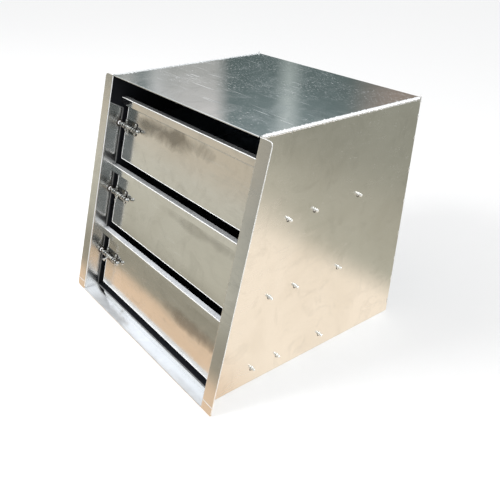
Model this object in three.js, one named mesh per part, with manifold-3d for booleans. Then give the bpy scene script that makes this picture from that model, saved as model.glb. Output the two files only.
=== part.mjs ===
// A three-drawer nesting box in folded sheet metal.
// The cabinet has a slanted front: the floor reaches further forward than the top. The side
// panels carry mounting flanges turned outwards along that front. Three nest drawers run on
// telescopic slides, and a barrel bolt at the left of each drawer shoots into the side panel.
// Millimetres, +Z up, the front faces -Y, origin under the middle of the object's box.

import * as THREE from "three";
import { mergeVertices } from "three/addons/utils/BufferGeometryUtils.js";
import Module from "manifold-3d";

const wasm = await Module();
wasm.setup();

// ---- driving dimensions ----
const HEIGHT = 600; // floor to top
const WIDTH = 586; // over the side panels, without their flanges
const TOP_DEPTH = 490; // front to back along the top edge
const FLOOR_DEPTH = 630; // front to back along the floor
const SHEET = 1.5; // sheet thickness
const GAP = 0.3; // left between touching pieces
const FLANGE = 37; // mounting flange, measured out from the side panel
const BEND = 2; // inside radius of every fold
const SEAM = 4; // corner seams: each sheet stops this far short of the corner, and a weld fills it
const TOP_HEM = 12; // front edge of the top folded back under itself
const FLANGE_TOP_RADIUS = 10; // upper outer corner of both flanges
const FLANGE_LEFT_RADIUS = 11; // lower outer corner of the left flange
const FLANGE_RIGHT_RADIUS = 4; // lower outer corner of the right flange

const TIERS = ["bottom", "middle", "top"];
const TIER_PITCH = 181;
const FIRST_TIER = 17.5; // floor to the lower edge of the lowest drawer's face

// Measured from a tier's origin: the point of the slanted front plane level with that lower edge.
const RAIL_RECESS = 36; // rail's front edge behind the front plane, along Y
const RAIL_TOP = 160;
const RAIL_LIP = 17.4; // height of the turned-down lip
const RAIL_DEPTH = 14; // width of the rail's top leg

const FACE_RECESS = 46; // drawer face behind the front plane, square to it
const FACE_HEIGHT = 139;
const FACE_FLANGE = 12; // edges of the face turned back
const DRAWER_HALF = 271; // half width of face and tray
const TRAY_HEIGHT = 112;
const TRAY_LENGTH = 395;
const TRAY_HEM = 9; // top edges of the tray turned inwards

const SLIDE_START = 54; // front end of the slides behind the front plane, along Y
const SLIDE_LENGTH = 400;
const SLIDE_CENTRE = 20.5; // above the tier's origin
const SLIDE_SHEET = 1.5;
const RIVETS = [136, 214, 355]; // behind the front plane, along Y
const RIVET_SHANK = 3; // radius
const RIVET_HEAD = 4.8; // radius of the low head inside the slide's channel
const RIVET_HEAD_HEIGHT = 2.2;
// The swelled tail that stands out of the side panel: radius, then distance from the panel.
const RIVET_TAIL = [
  [4.3, 0],
  [4.3, 2.6],
  [3.1, 4.6],
  [3.4, 8],
  [2.5, 11],
  [0, 12],
];

const PLATE_WIDTH = 58;
const PLATE_HEIGHT = 34;
const PLATE_CENTRE = 90; // above the tier's origin, in the plane of the face
const SCREW_INSET = 5; // screw centres from the plate's edges
const SCREW_HEAD = [[0, 0], [3, 0], [3, 0.5], [2.2, 1.5], [0, 1.9]]; // radius, height
const ROD_RADIUS = 4;
const ROD_HEIGHT = 7.5; // rod axis off the drawer face
const ROD_TIP_GAP = 1.2; // tip to the side panel
const ROD_HOLE = 5.2; // radius of the hole in the side panel
const ROD_FULL = 84; // full thickness as far as this from the tip
const ROD_NECK = 2.6; // radius behind the ball
const BARREL_RADIUS = 6.5;
const BARREL_BORE = 4.5;
const BARREL_LENGTH = 11.5;
const BARREL_INSET = 0.5; // from the plate's ends
const KNOB_RADIUS = 6;
const KNOB_X = -196;
const LEVER_LENGTH = 21;
const LEVER_SET = 27.5; // lever's middle from the plate's left edge
const LEVER_STEM = 3; // half width next to the rod
const LEVER_TAB = 4.5; // half width of the round end
const LEVER_WIDENS = [9, 12]; // from the rod's axis
const LEVER_SHEET = 2.6;
const LEVER_TURN = { bottom: 28, middle: 70, top: 86 }; // degrees below straight out

const CLEAR = 1; // how far a cutting body reaches past what it cuts
const DRILL = 4; // and a drill, on either side of a sheet
const BITE = 0.2; // how far joined parts sink into each other

const SLANT = Math.atan((FLOOR_DEPTH - TOP_DEPTH) / HEIGHT);
const HALF = WIDTH / 2;
const INNER = HALF - SHEET; // inner face of a side panel
const SLOPE = Math.tan(SLANT);

// ---- materials ----
const metal = (color, roughness) => new THREE.MeshStandardMaterial({ color, roughness, metalness: 1 });
const cabinetMetal = () => metal(0xb3b0a4, 0.38);
const drawerMetal = () => metal(0xb6b2a0, 0.34);
const slideMetal = () => metal(0xa9adb0, 0.3);
const rivetMetal = () => metal(0xc9c9c6, 0.3);
const latchMetal = () => metal(0xd2d3d1, 0.16);

// ---- helpers ----
const toX = new THREE.Matrix4().makeBasis(
  new THREE.Vector3(0, 1, 0),
  new THREE.Vector3(0, 0, 1),
  new THREE.Vector3(1, 0, 0),
); // an outline in (y, z), extruded along +X
const toFront = new THREE.Matrix4().makeBasis(
  new THREE.Vector3(1, 0, 0),
  new THREE.Vector3(0, 0, 1),
  new THREE.Vector3(0, -1, 0),
); // an outline in (x, z), extruded along -Y

const moved = (x, y, z) => new THREE.Matrix4().makeTranslation(x, y, z);

function solid(geometry, matrix) {
  const g = geometry.clone();
  if (matrix) g.applyMatrix4(matrix);
  g.deleteAttribute("normal");
  g.deleteAttribute("uv");
  const merged = mergeVertices(g, 1e-4);
  return new wasm.Manifold(
    new wasm.Mesh({
      numProp: 3,
      vertProperties: new Float32Array(merged.attributes.position.array),
      triVerts: new Uint32Array(merged.index.array),
    }),
  );
}

function mesh(name, made, material) {
  const m = made.getMesh();
  const g = new THREE.BufferGeometry()
    .setAttribute("position", new THREE.BufferAttribute(new Float32Array(m.vertProperties), 3))
    .setIndex(new THREE.BufferAttribute(new Uint32Array(m.triVerts), 1));
  const flat = g.toNonIndexed();
  flat.computeVertexNormals();
  const out = new THREE.Mesh(flat, material);
  out.name = name;
  return out;
}

const box = (x0, x1, y0, y1, z0, z1) =>
  solid(
    new THREE.BoxGeometry(x1 - x0, y1 - y0, z1 - z0),
    moved((x0 + x1) / 2, (y0 + y1) / 2, (z0 + z1) / 2),
  );

const outline = (points) => new THREE.Shape(points.map(([x, y]) => new THREE.Vector2(x, y)));

const extrude = (shape, depth, matrix, curveSegments = 6) =>
  solid(new THREE.ExtrudeGeometry(shape, { depth, bevelEnabled: false, curveSegments }), matrix);

const prismX = (points, x0, x1) =>
  extrude(outline(points), x1 - x0, moved(x0, 0, 0).multiply(toX));

const cylinderX = (radius, x0, x1, y, z, sides) =>
  solid(
    new THREE.CylinderGeometry(radius, radius, x1 - x0, sides),
    moved((x0 + x1) / 2, y, z).multiply(new THREE.Matrix4().makeRotationZ(Math.PI / 2)),
  );

// A lathe profile of [radius, distance] pairs, turned about the X axis, distance along +X.
const latheX = (points, sides, x, y, z) =>
  solid(
    new THREE.LatheGeometry(points.map(([r, d]) => new THREE.Vector2(r, d)), sides),
    moved(x, y, z).multiply(new THREE.Matrix4().makeRotationZ(-Math.PI / 2)),
  );

const mirrorX = (made) => made.mirror([1, 0, 0]);

// A point of a tilted frame, whose y runs square into the front plane and whose z runs up it.
const fromFront = (y, z) => [
  y * Math.cos(SLANT) + z * Math.sin(SLANT),
  -y * Math.sin(SLANT) + z * Math.cos(SLANT),
];
const tilt = new THREE.Matrix4().makeRotationX(-SLANT);
// How far up the tilted frame a depth square into the front comes level with a height.
const upFor = (depth, height) => (height + depth * Math.sin(SLANT)) / Math.cos(SLANT);

const tierOrigin = (k) => {
  const z = FIRST_TIER + k * TIER_PITCH;
  return new THREE.Vector3(0, -FLOOR_DEPTH + z * SLOPE, z);
};

const ROD_DEPTH = FACE_RECESS - ROD_HEIGHT;
const LATCH_UP = upFor(FACE_RECESS, PLATE_CENTRE);
const [ROD_Y, ROD_Z] = fromFront(ROD_DEPTH, LATCH_UP);

// ---- cabinet ----

// Fold and flange of a right-hand side panel, seen along the slant: x across, y into the front.
function foldProfile() {
  const s = new THREE.Shape();
  const outer = HALF + FLANGE;
  const r = BEND + SHEET;
  s.moveTo(outer, 0);
  s.lineTo(outer, SHEET);
  s.lineTo(HALF + BEND, SHEET);
  s.absarc(HALF + BEND, r, BEND, -Math.PI / 2, -Math.PI, true);
  s.lineTo(HALF, 2 * FLOOR_DEPTH);
  s.lineTo(INNER, 2 * FLOOR_DEPTH);
  s.lineTo(INNER, r);
  s.absarc(HALF + BEND, r, r, Math.PI, (3 * Math.PI) / 2, false);
  s.closePath();
  return s;
}

// The flange's outer edge as a tall prism with its two outer corners rounded.
function flangeTrim(topRadius, lowRadius) {
  const length = HEIGHT / Math.cos(SLANT);
  const x1 = HALF + FLANGE;
  const s = new THREE.Shape();
  s.moveTo(0, 0);
  s.lineTo(x1 - lowRadius, 0);
  s.absarc(x1 - lowRadius, lowRadius, lowRadius, -Math.PI / 2, 0, false);
  s.lineTo(x1, length - topRadius);
  s.absarc(x1 - topRadius, length - topRadius, topRadius, 0, Math.PI / 2, false);
  s.lineTo(0, length);
  s.closePath();
  return extrude(s, 4 * FLOOR_DEPTH, moved(0, 2 * FLOOR_DEPTH, 0).multiply(toFront));
}

const sideOutline = [
  [-FLOOR_DEPTH, 0],
  [0, 0],
  [0, HEIGHT],
  [-TOP_DEPTH, HEIGHT],
];

// The weld along an upper edge starts behind the flange's fold.
const SEAM_START = -TOP_DEPTH + BEND + 2 * SHEET;
const seamRoom = () => box(INNER - CLEAR, HALF + CLEAR, SEAM_START, CLEAR, HEIGHT - SEAM, HEIGHT + CLEAR);

function sidePanel(isLeft) {
  const place = moved(0, -FLOOR_DEPTH, 0).multiply(tilt);
  const bent = extrude(foldProfile(), 3 * HEIGHT, place.clone().multiply(moved(0, 0, -HEIGHT)), 4);
  const trim = flangeTrim(FLANGE_TOP_RADIUS, isLeft ? FLANGE_LEFT_RADIUS : FLANGE_RIGHT_RADIUS);
  // The trim is square to the slant, so the level ends and the back edge are cut by the side's outline.
  const wall = bent.intersect(
    box(INNER - CLEAR, HALF + BEND, -2 * FLOOR_DEPTH, FLOOR_DEPTH, -HEIGHT, 2 * HEIGHT),
  );
  let made = bent
    .intersect(trim.transform(place.toArray()))
    .add(wall)
    .intersect(prismX(sideOutline, 0, HALF + FLANGE + CLEAR))
    .subtract(seamRoom());
  if (isLeft) made = mirrorX(made);
  const x = isLeft ? -HALF : HALF;
  TIERS.forEach((_, k) => {
    const o = tierOrigin(k);
    const y = o.y + SLIDE_CENTRE * SLOPE;
    for (const d of RIVETS)
      made = made.subtract(
        cylinderX(RIVET_SHANK + GAP, x - DRILL, x + DRILL, y + d, o.z + SLIDE_CENTRE, 12),
      );
    if (isLeft)
      made = made.subtract(cylinderX(ROD_HOLE, x - DRILL, x + DRILL, o.y + ROD_Y, o.z + ROD_Z, 16));
  });
  return made;
}

function topPanel() {
  const half = HALF - SEAM;
  const r = SHEET + GAP / 2;
  const y = -TOP_DEPTH;
  const s = new THREE.Shape();
  s.moveTo(0, HEIGHT);
  s.lineTo(y + r, HEIGHT);
  s.absarc(y + r, HEIGHT - r, r, Math.PI / 2, (3 * Math.PI) / 2, false);
  s.lineTo(y + TOP_HEM, HEIGHT - 2 * r);
  s.lineTo(y + TOP_HEM, HEIGHT - SHEET);
  s.lineTo(0, HEIGHT - SHEET);
  s.closePath();
  return extrude(s, 2 * half, moved(-half, 0, 0).multiply(toX), 5);
}

// The weld along an upper edge: a convex bead between the top and a side, with its root inside.
function seam(isLeft) {
  const s = new THREE.Shape();
  const x = HALF - SEAM;
  const z = HEIGHT - SEAM;
  s.moveTo(x + GAP, z + GAP);
  s.lineTo(HALF, z + GAP);
  s.absarc(x + GAP, z + GAP, SEAM - GAP, 0, Math.PI / 2, false);
  s.closePath();
  const rear = -SHEET - GAP;
  const made = extrude(s, rear - SEAM_START - GAP, moved(0, rear, 0).multiply(toFront), 5);
  return isLeft ? mirrorX(made) : made;
}

function backPanel() {
  return box(-INNER + GAP, INNER - GAP, -SHEET, 0, SHEET + GAP, HEIGHT - SHEET - GAP);
}

function floorPanel() {
  return box(-INNER + GAP, INNER - GAP, -FLOOR_DEPTH, 0, 0, SHEET);
}

// An angle between the sides: a level leg, and a lip folded down parallel to the slanted front.
function rail() {
  const y = RAIL_RECESS + RAIL_TOP * SLOPE;
  const z = RAIL_TOP;
  const r = BEND + SHEET;
  // The lip leans with the front, so the fold turns a little less than a right angle.
  const turned = Math.PI - SLANT;
  const cy = y + r * Math.tan((Math.PI / 2 - SLANT) / 2);
  const cz = z - r;
  const drop = RAIL_LIP - r;
  const lipEnd = (radius) => [
    cy + radius * Math.cos(turned) - drop * SLOPE,
    cz + radius * Math.sin(turned) - drop,
  ];
  const s = new THREE.Shape();
  s.moveTo(y + RAIL_DEPTH, z);
  s.lineTo(cy, z);
  s.absarc(cy, cz, r, Math.PI / 2, turned, false);
  s.lineTo(...lipEnd(r));
  s.lineTo(...lipEnd(BEND));
  s.absarc(cy, cz, BEND, turned, Math.PI / 2, true);
  s.lineTo(y + RAIL_DEPTH, z - SHEET);
  s.closePath();
  return extrude(s, 2 * (INNER - GAP), moved(-INNER + GAP, 0, 0).multiply(toX), 5);
}

// ---- slides ----

// A channel lying along Y: web and two flanges, open towards the smaller |x| or the larger one.
function channel(web, lip, halfHeight) {
  const s = SLIDE_SHEET;
  const dir = Math.sign(lip - web);
  const points = [
    [web, -halfHeight],
    [lip, -halfHeight],
    [lip, -halfHeight + s],
    [web + dir * s, -halfHeight + s],
    [web + dir * s, halfHeight - s],
    [lip, halfHeight - s],
    [lip, halfHeight],
    [web, halfHeight],
  ];
  const y = SLIDE_START + SLIDE_CENTRE * SLOPE;
  const place = moved(0, y + SLIDE_LENGTH, SLIDE_CENTRE).multiply(toFront);
  return extrude(outline(dir > 0 ? points : points.slice().reverse()), SLIDE_LENGTH, place);
}

// Each member's web and lip from the middle of the cabinet, and half its height.
const SLIDE = {
  outer: { web: INNER - GAP, lip: DRAWER_HALF + 2.5, half: 22.5 },
  middle: { web: INNER - 7, lip: DRAWER_HALF + 3.5, half: 19.5 },
  inner: { web: DRAWER_HALF + GAP, lip: DRAWER_HALF + 10, half: 15 },
};

function slideMember(kind, isLeft) {
  const { web, lip, half } = SLIDE[kind];
  const hole = RIVET_SHANK + GAP;
  let made = channel(web, lip, half);
  if (kind === "outer")
    for (const d of RIVETS)
      made = made.subtract(
        cylinderX(hole, INNER - DRILL, INNER + CLEAR, SLIDE_CENTRE * SLOPE + d, SLIDE_CENTRE, 12),
      );
  return isLeft ? mirrorX(made) : made;
}

// A blind rivet: its head low in the slide's channel, its tail swelled outside the side panel.
function rivet(isLeft, d) {
  const inside = -SHEET - 2 * GAP - SLIDE_SHEET - GAP;
  const profile = [
    [0, inside - RIVET_HEAD_HEIGHT],
    [RIVET_SHANK, inside - RIVET_HEAD_HEIGHT],
    [RIVET_HEAD, inside - RIVET_HEAD_HEIGHT / 2],
    [RIVET_HEAD, inside],
    [RIVET_SHANK, inside],
    [RIVET_SHANK, GAP],
    ...RIVET_TAIL.map(([radius, out]) => [radius, GAP + out]),
  ];
  const made = latheX(profile, 14, HALF, SLIDE_CENTRE * SLOPE + d, SLIDE_CENTRE);
  return isLeft ? mirrorX(made) : made;
}

// ---- drawer ----

// A plate with rounded vertical folds at both ends, as an outline in (x, y).
function panOutline(half, front, rear, radius) {
  const s = new THREE.Shape();
  s.moveTo(-half, rear);
  s.lineTo(-half, front + radius);
  s.absarc(-half + radius, front + radius, radius, Math.PI, (3 * Math.PI) / 2, false);
  s.lineTo(half - radius, front);
  s.absarc(half - radius, front + radius, radius, -Math.PI / 2, 0, false);
  s.lineTo(half, rear);
  s.closePath();
  return s;
}

// A shallow pan, its four edges folded back: rounded across its width, then across its height.
function drawerFace() {
  const y = FACE_RECESS;
  const z0 = upFor(FACE_RECESS, 0);
  const z1 = upFor(FACE_RECESS, FACE_HEIGHT);
  const r = BEND + SHEET;
  const onEnd = new THREE.Matrix4().makeBasis(
    new THREE.Vector3(0, 0, -1),
    new THREE.Vector3(0, 1, 0),
    new THREE.Vector3(1, 0, 0),
  );
  const across = (half, front, rear, low, high, radius) =>
    extrude(panOutline(half, front, rear, radius), high - low, moved(0, 0, low), 4);
  const upright = (half, front, rear, low, high, radius) =>
    extrude(
      panOutline((high - low) / 2, front, rear, radius),
      2 * half,
      moved(-half, 0, (low + high) / 2).multiply(onEnd),
      4,
    );
  const block = (inset, extra) => {
    const rear = y + FACE_FLANGE + extra;
    const args = [DRAWER_HALF - inset, y + inset, rear, z0 + inset, z1 - inset, r - inset];
    return across(...args).intersect(upright(...args));
  };
  return block(0, 0).subtract(block(SHEET, CLEAR)).transform(tilt.toArray());
}

// A tray open at the front, where the face closes it, with the upper edges of its walls turned inwards.
function drawerTray() {
  const depth = FACE_RECESS + FACE_FLANGE + GAP;
  const [y0, z0] = fromFront(depth, upFor(FACE_RECESS, 0));
  const z1 = z0 + TRAY_HEIGHT;
  const front = (z) => y0 + (z - z0) * SLOPE;
  const rear = y0 + TRAY_LENGTH;
  const shell = prismX([[y0, z0], [rear, z0], [rear, z1], [front(z1), z1]], -DRAWER_HALF, DRAWER_HALF);
  const inside = DRAWER_HALF - SHEET;
  const ahead = y0 - TRAY_HEIGHT; // in front of the tray
  const above = z1 + CLEAR;
  const hollow = prismX(
    [[ahead, z0 + SHEET], [rear - SHEET, z0 + SHEET], [rear - SHEET, z1 - SHEET], [ahead, z1 - SHEET]],
    -inside,
    inside,
  );
  const mouth = prismX(
    [[ahead, z1 - 2 * SHEET], [rear - TRAY_HEM, z1 - 2 * SHEET], [rear - TRAY_HEM, above], [ahead, above]],
    -inside + TRAY_HEM,
    inside - TRAY_HEM,
  );
  return shell.subtract(hollow).subtract(mouth);
}

// ---- latch ----

// A guide for the rod: a bored block with a round back, standing on the plate.
function barrel(x0) {
  const s = new THREE.Shape();
  const base = SHEET - BITE;
  s.moveTo(-BARREL_RADIUS, base);
  s.lineTo(BARREL_RADIUS, base);
  s.lineTo(BARREL_RADIUS, ROD_HEIGHT);
  s.absarc(0, ROD_HEIGHT, BARREL_RADIUS, 0, Math.PI, false);
  s.closePath();
  const bore = new THREE.Path();
  bore.absarc(0, ROD_HEIGHT, BARREL_BORE, 0, 2 * Math.PI, true);
  s.holes.push(bore);
  // outline x runs down the face, outline y runs out of it
  const basis = new THREE.Matrix4().makeBasis(
    new THREE.Vector3(0, 0, -1),
    new THREE.Vector3(0, -1, 0),
    new THREE.Vector3(-1, 0, 0),
  );
  const place = moved(x0 + BARREL_LENGTH, FACE_RECESS - GAP, LATCH_UP).multiply(basis);
  return extrude(s, BARREL_LENGTH, place, 8);
}

function latchPlate() {
  const x0 = -DRAWER_HALF;
  const x1 = x0 + PLATE_WIDTH;
  const half = PLATE_HEIGHT / 2;
  const back = FACE_RECESS - GAP;
  let made = box(x0, x1, back - SHEET, back, LATCH_UP - half, LATCH_UP + half)
    .add(barrel(x0 + BARREL_INSET))
    .add(barrel(x1 - BARREL_INSET - BARREL_LENGTH));
  const screw = new THREE.LatheGeometry(SCREW_HEAD.map(([r, h]) => new THREE.Vector2(r, h)), 10);
  for (const x of [x0 + SCREW_INSET, x1 - SCREW_INSET])
    for (const up of [-1, 1]) {
      const place = moved(x, back - SHEET + BITE, LATCH_UP + up * (half - SCREW_INSET));
      made = made.add(solid(screw, place.multiply(new THREE.Matrix4().makeRotationX(Math.PI))));
    }
  return made.transform(tilt.toArray());
}

// The sliding rod, with a ball at its right end and a flat lever standing off it between the barrels.
function latchBolt(tier) {
  const tip = -INNER + ROD_TIP_GAP;
  const r = ROD_RADIUS;
  const reach = KNOB_X - tip;
  const meets = Math.asin(ROD_NECK / KNOB_RADIUS); // where the neck runs into the ball
  const profile = [
    [0, 0],
    [r - 0.9, 0],
    [r, 1.1],
    [r, ROD_FULL],
    [ROD_NECK, ROD_FULL + 1],
  ];
  const steps = 6;
  for (let i = 0; i < steps; i++) {
    const a = meets + (i / steps) * (Math.PI - meets);
    profile.push([KNOB_RADIUS * Math.sin(a), reach - KNOB_RADIUS * Math.cos(a)]);
  }
  profile.push([0, reach + KNOB_RADIUS]);
  const rod = latheX(profile, 16, tip, 0, 0);
  // The lever's outline: root in the rod, a straight stem, a wider round-ended tab.
  const s = new THREE.Shape();
  const [stemEnd, tabStart] = LEVER_WIDENS;
  const tabCentre = LEVER_LENGTH - LEVER_TAB;
  s.moveTo(-LEVER_STEM, 0);
  s.lineTo(LEVER_STEM, 0);
  s.lineTo(LEVER_STEM, stemEnd);
  s.lineTo(LEVER_TAB, tabStart);
  s.lineTo(LEVER_TAB, tabCentre);
  s.absarc(0, tabCentre, LEVER_TAB, 0, Math.PI, false);
  s.lineTo(-LEVER_TAB, tabStart);
  s.lineTo(-LEVER_STEM, stemEnd);
  s.closePath();
  const turn = THREE.MathUtils.degToRad(LEVER_TURN[tier]);
  const lever = extrude(
    s,
    LEVER_SHEET,
    moved(-DRAWER_HALF + LEVER_SET, 0, 0)
      .multiply(new THREE.Matrix4().makeRotationX(Math.PI + turn))
      .multiply(moved(0, 0, -LEVER_SHEET / 2)),
    5,
  );
  return rod.add(lever).transform(moved(0, ROD_DEPTH, LATCH_UP).toArray()).transform(tilt.toArray());
}

// ---- assembly ----
const root = new THREE.Group();
const cabinet = new THREE.Group();
cabinet.position.y = FLOOR_DEPTH / 2;
root.add(cabinet);

cabinet.add(mesh("top_panel", topPanel(), cabinetMetal()));
cabinet.add(mesh("back_panel", backPanel(), cabinetMetal()));
cabinet.add(mesh("floor_panel", floorPanel(), cabinetMetal()));
cabinet.add(mesh("weld_left", seam(true), cabinetMetal()));
cabinet.add(mesh("weld_right", seam(false), cabinetMetal()));
cabinet.add(mesh("side_panel_left", sidePanel(true), cabinetMetal()));
cabinet.add(mesh("side_panel_right", sidePanel(false), cabinetMetal()));

TIERS.forEach((tier, k) => {
  const group = new THREE.Group();
  group.position.copy(tierOrigin(k));
  cabinet.add(group);
  group.add(mesh("rail_" + tier, rail(), cabinetMetal()));
  group.add(mesh("drawer_face_" + tier, drawerFace(), drawerMetal()));
  group.add(mesh("drawer_tray_" + tier, drawerTray(), drawerMetal()));
  group.add(mesh("latch_plate_" + tier, latchPlate(), latchMetal()));
  group.add(mesh("latch_bolt_" + tier, latchBolt(tier), latchMetal()));
  for (const side of ["left", "right"]) {
    const isLeft = side === "left";
    for (const kind of ["outer", "middle", "inner"])
      group.add(mesh(["slide", kind, tier, side].join("_"), slideMember(kind, isLeft), slideMetal()));
    RIVETS.forEach((d, i) => {
      group.add(mesh(["rivet", tier, side, i + 1].join("_"), rivet(isLeft, d), rivetMetal()));
    });
  }
});

export default root;
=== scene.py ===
import math
import bpy
import bmesh
from mathutils import Matrix, Vector, noise


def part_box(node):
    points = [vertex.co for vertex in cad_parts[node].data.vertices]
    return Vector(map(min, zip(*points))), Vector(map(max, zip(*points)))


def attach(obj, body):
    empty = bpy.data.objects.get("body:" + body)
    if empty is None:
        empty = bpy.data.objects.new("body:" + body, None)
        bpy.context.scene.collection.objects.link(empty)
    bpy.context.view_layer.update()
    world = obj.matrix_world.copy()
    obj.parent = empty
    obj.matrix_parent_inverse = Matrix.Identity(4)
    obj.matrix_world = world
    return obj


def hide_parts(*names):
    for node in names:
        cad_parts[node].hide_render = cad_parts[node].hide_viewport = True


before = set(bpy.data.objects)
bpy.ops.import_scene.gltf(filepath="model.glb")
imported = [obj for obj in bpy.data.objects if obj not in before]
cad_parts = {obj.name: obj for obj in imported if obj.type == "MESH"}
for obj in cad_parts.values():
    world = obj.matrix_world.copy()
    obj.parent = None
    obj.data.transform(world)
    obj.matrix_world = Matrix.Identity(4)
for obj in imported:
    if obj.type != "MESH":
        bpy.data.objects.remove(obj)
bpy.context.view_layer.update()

MM = 0.001
TIERS = ("bottom", "middle", "top")
SIDES = ("left", "right")

# ---- the object's own sizes, read from the frame ----
top_low, top_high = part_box("top_panel")
HEIGHT = top_high.z
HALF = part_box("weld_right")[1].x
FRONT_TOP = top_low.y
FRONT_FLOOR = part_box("floor_panel")[0].y
SLANT = math.atan((FRONT_TOP - FRONT_FLOOR) / HEIGHT)

# A frame standing in the slanted front: x across, y square into the cabinet, z up the slant.
TILT = Matrix.Translation((0, FRONT_FLOOR, 0)) @ Matrix.Rotation(-SLANT, 4, "X")
UNTILT = TILT.inverted()


def tilted_box(node):
    """Lowest and highest corner of a node in the slanted front's own frame."""
    points = [UNTILT @ v.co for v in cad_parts[node].data.vertices]
    return (
        Vector(min(p[i] for p in points) for i in range(3)),
        Vector(max(p[i] for p in points) for i in range(3)),
    )


# ---- camera ----
SENSOR = 36                                # in mm
FOCAL_SHARE = 1.2081                       # focal length over the picture's width
PICTURE_SHIFT = (0.053, -0.0528)           # the picture's middle lies off the lens's axis
CAMERA_TURN = (52.399, 27.312, 0.986)      # azimuth, elevation and roll, in degrees
CAMERA_PLACE = (1.1140, -1.2069 - FRONT_FLOOR, 0.9765)


def make_camera():
    """Camera at the photograph's viewing angle, from the right and above."""
    data = bpy.data.cameras.new("camera")
    data.sensor_width = SENSOR
    data.lens = FOCAL_SHARE * SENSOR
    data.shift_x, data.shift_y = PICTURE_SHIFT
    data.clip_start, data.clip_end = 0.05, 50
    cam = bpy.data.objects.new("camera", data)
    bpy.context.collection.objects.link(cam)
    azimuth, elevation, roll = (math.radians(a) for a in CAMERA_TURN)
    level = math.cos(elevation)
    ahead = Vector((-math.sin(azimuth) * level, math.cos(azimuth) * level, -math.sin(elevation)))
    right = Vector((math.cos(azimuth), math.sin(azimuth), 0))
    up = right.cross(ahead)
    right, up = (
        right * math.cos(roll) + up * math.sin(roll),
        up * math.cos(roll) - right * math.sin(roll),
    )
    turn = Matrix((right, up, -ahead)).transposed().to_4x4()
    cam.matrix_world = Matrix.Translation(CAMERA_PLACE) @ turn
    bpy.context.scene.camera = cam


make_camera()


# ---- node helpers ----
def nodes_of(material):
    """A material's node tree and its main shader."""
    material.use_nodes = True
    tree = material.node_tree
    return tree, tree.nodes["Principled BSDF"]


class Graph:
    """Short calls for building a node tree."""

    def __init__(self, tree):
        self.tree = tree
        self.coord = tree.nodes.new("ShaderNodeTexCoord")

    def link(self, a, b):
        self.tree.links.new(a, b)

    def place(self, scale=(1, 1, 1), turn=(0, 0, 0), move=(0, 0, 0)):
        """The object's own coordinates, scaled, turned and moved."""
        n = self.tree.nodes.new("ShaderNodeMapping")
        n.inputs["Scale"].default_value = scale
        n.inputs["Rotation"].default_value = turn
        n.inputs["Location"].default_value = move
        self.link(self.coord.outputs["Object"], n.inputs["Vector"])
        return n.outputs["Vector"]

    def noise(self, vector, scale, detail=3.0, rough=0.5, distortion=0.0):
        n = self.tree.nodes.new("ShaderNodeTexNoise")
        n.inputs["Scale"].default_value = scale
        n.inputs["Detail"].default_value = detail
        n.inputs["Roughness"].default_value = rough
        n.inputs["Distortion"].default_value = distortion
        self.link(vector, n.inputs["Vector"])
        return n.outputs["Fac"]

    def span(self, value, lo, hi, to_lo=0.0, to_hi=1.0):
        """The value's run from lo to hi stretched to another run, and held at its ends."""
        n = self.tree.nodes.new("ShaderNodeMapRange")
        n.clamp = True
        for name, v in (("From Min", lo), ("From Max", hi), ("To Min", to_lo), ("To Max", to_hi)):
            n.inputs[name].default_value = v
        self.link(value, n.inputs["Value"])
        return n.outputs["Result"]

    def dot(self, vector, direction):
        n = self.tree.nodes.new("ShaderNodeVectorMath")
        n.operation = "DOT_PRODUCT"
        self.link(vector, n.inputs[0])
        n.inputs[1].default_value = direction
        return n.outputs["Value"]

    def length(self, vector):
        n = self.tree.nodes.new("ShaderNodeVectorMath")
        n.operation = "LENGTH"
        self.link(vector, n.inputs[0])
        return n.outputs["Value"]

    def parts(self, vector):
        n = self.tree.nodes.new("ShaderNodeSeparateXYZ")
        self.link(vector, n.inputs["Vector"])
        return n.outputs

    def math(self, kind, a, b):
        n = self.tree.nodes.new("ShaderNodeMath")
        n.operation = kind
        for i, v in enumerate((a, b)):
            if isinstance(v, (int, float)):
                n.inputs[i].default_value = v
            else:
                self.link(v, n.inputs[i])
        return n.outputs["Value"]

    def ramp(self, value, stops):
        n = self.tree.nodes.new("ShaderNodeValToRGB")
        while len(n.color_ramp.elements) < len(stops):
            n.color_ramp.elements.new(0.5)
        for e, (at, colour) in zip(n.color_ramp.elements, stops):
            e.position = at
            e.color = (*colour, 1)
        self.link(value, n.inputs["Fac"])
        return n.outputs["Color"]

    def ramp_over(self, value, stops):
        """A colour ramp with its stops given in the value's own units."""
        low, high = stops[0][0], stops[-1][0]
        return self.ramp(self.span(value, low, high), [((at - low) / (high - low), c) for at, c in stops])

    def mix(self, factor, a, b, kind="MIX"):
        n = self.tree.nodes.new("ShaderNodeMix")
        n.data_type = "RGBA"
        n.blend_type = kind
        for name, v in (("Factor_Float", factor), ("A_Color", a), ("B_Color", b)):
            socket = next(i for i in n.inputs if i.identifier == name)
            if isinstance(v, (int, float)):
                socket.default_value = v
            elif isinstance(v, tuple):
                socket.default_value = (*v, 1)
            else:
                self.link(v, socket)
        return next(o for o in n.outputs if o.identifier == "Result_Color")

    def bump(self, height, distance, strength=1.0, normal=None):
        n = self.tree.nodes.new("ShaderNodeBump")
        n.inputs["Distance"].default_value = distance
        n.inputs["Strength"].default_value = strength
        self.link(height, n.inputs["Height"])
        if normal is not None:
            self.link(normal, n.inputs["Normal"])
        return n.outputs["Normal"]


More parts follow.
